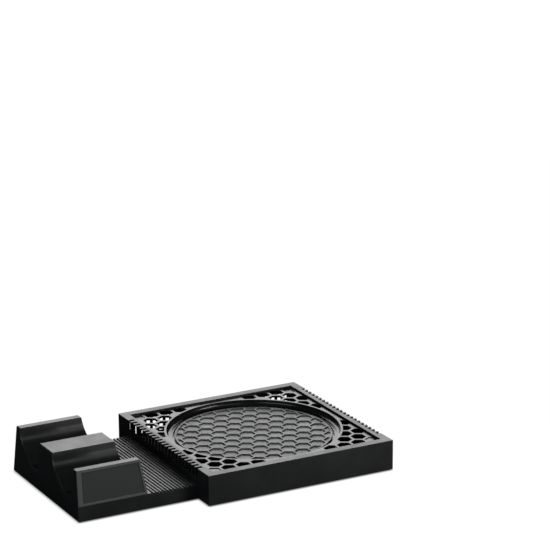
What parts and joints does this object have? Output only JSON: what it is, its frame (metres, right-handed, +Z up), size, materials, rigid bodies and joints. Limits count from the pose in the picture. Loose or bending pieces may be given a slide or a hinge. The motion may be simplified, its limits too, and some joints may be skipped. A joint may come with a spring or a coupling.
{
  "type": "controller charging stand",
  "caption": "Charging stand: a square tray with a honeycomb grille and a round recess for an upright console, and a low dock with leaning troughs for controllers.",
  "frame": {"origin": "on the table, in the middle of the stand's outline", "axes": "+X runs from the dock to the tray, +Y to the back, +Z up"},
  "size_m": [0.2698, 0.167, 0.0418],
  "materials": {
    "case": "black ABS with a fine satin grain",
    "grille": "black ABS with a fine satin grain",
    "pad": "soft dark grey rubber",
    "base": "black plastic with a coarse grain",
    "feet": "matt rubber",
    "steel": "zinc-plated steel",
    "board": "green solder mask",
    "chips": "black moulded plastic",
    "blocks": "black plastic",
    "contacts": "gold-plated brass"
  },
  "bodies": {
    "root": {"tray_housing": "case", "grille_plate": "grille", "console_pad": "pad", "tray_cover": "base", "tray_feet": "feet", "tray_screws": "steel", "dock_housing": "case", "dock_cover": "base", "dock_feet": "feet", "dock_screws": "steel", "join_screws": "steel", "charge_board": "board", "board_chips": "chips", "board_screws": "steel", "contact_block_front": "blocks", "contact_block_rear": "blocks", "contact_pins_front": "contacts", "contact_pins_rear": "contacts", "inlet_shell": "steel", "inlet_tongue": "chips"}
  },
  "joints": []
}
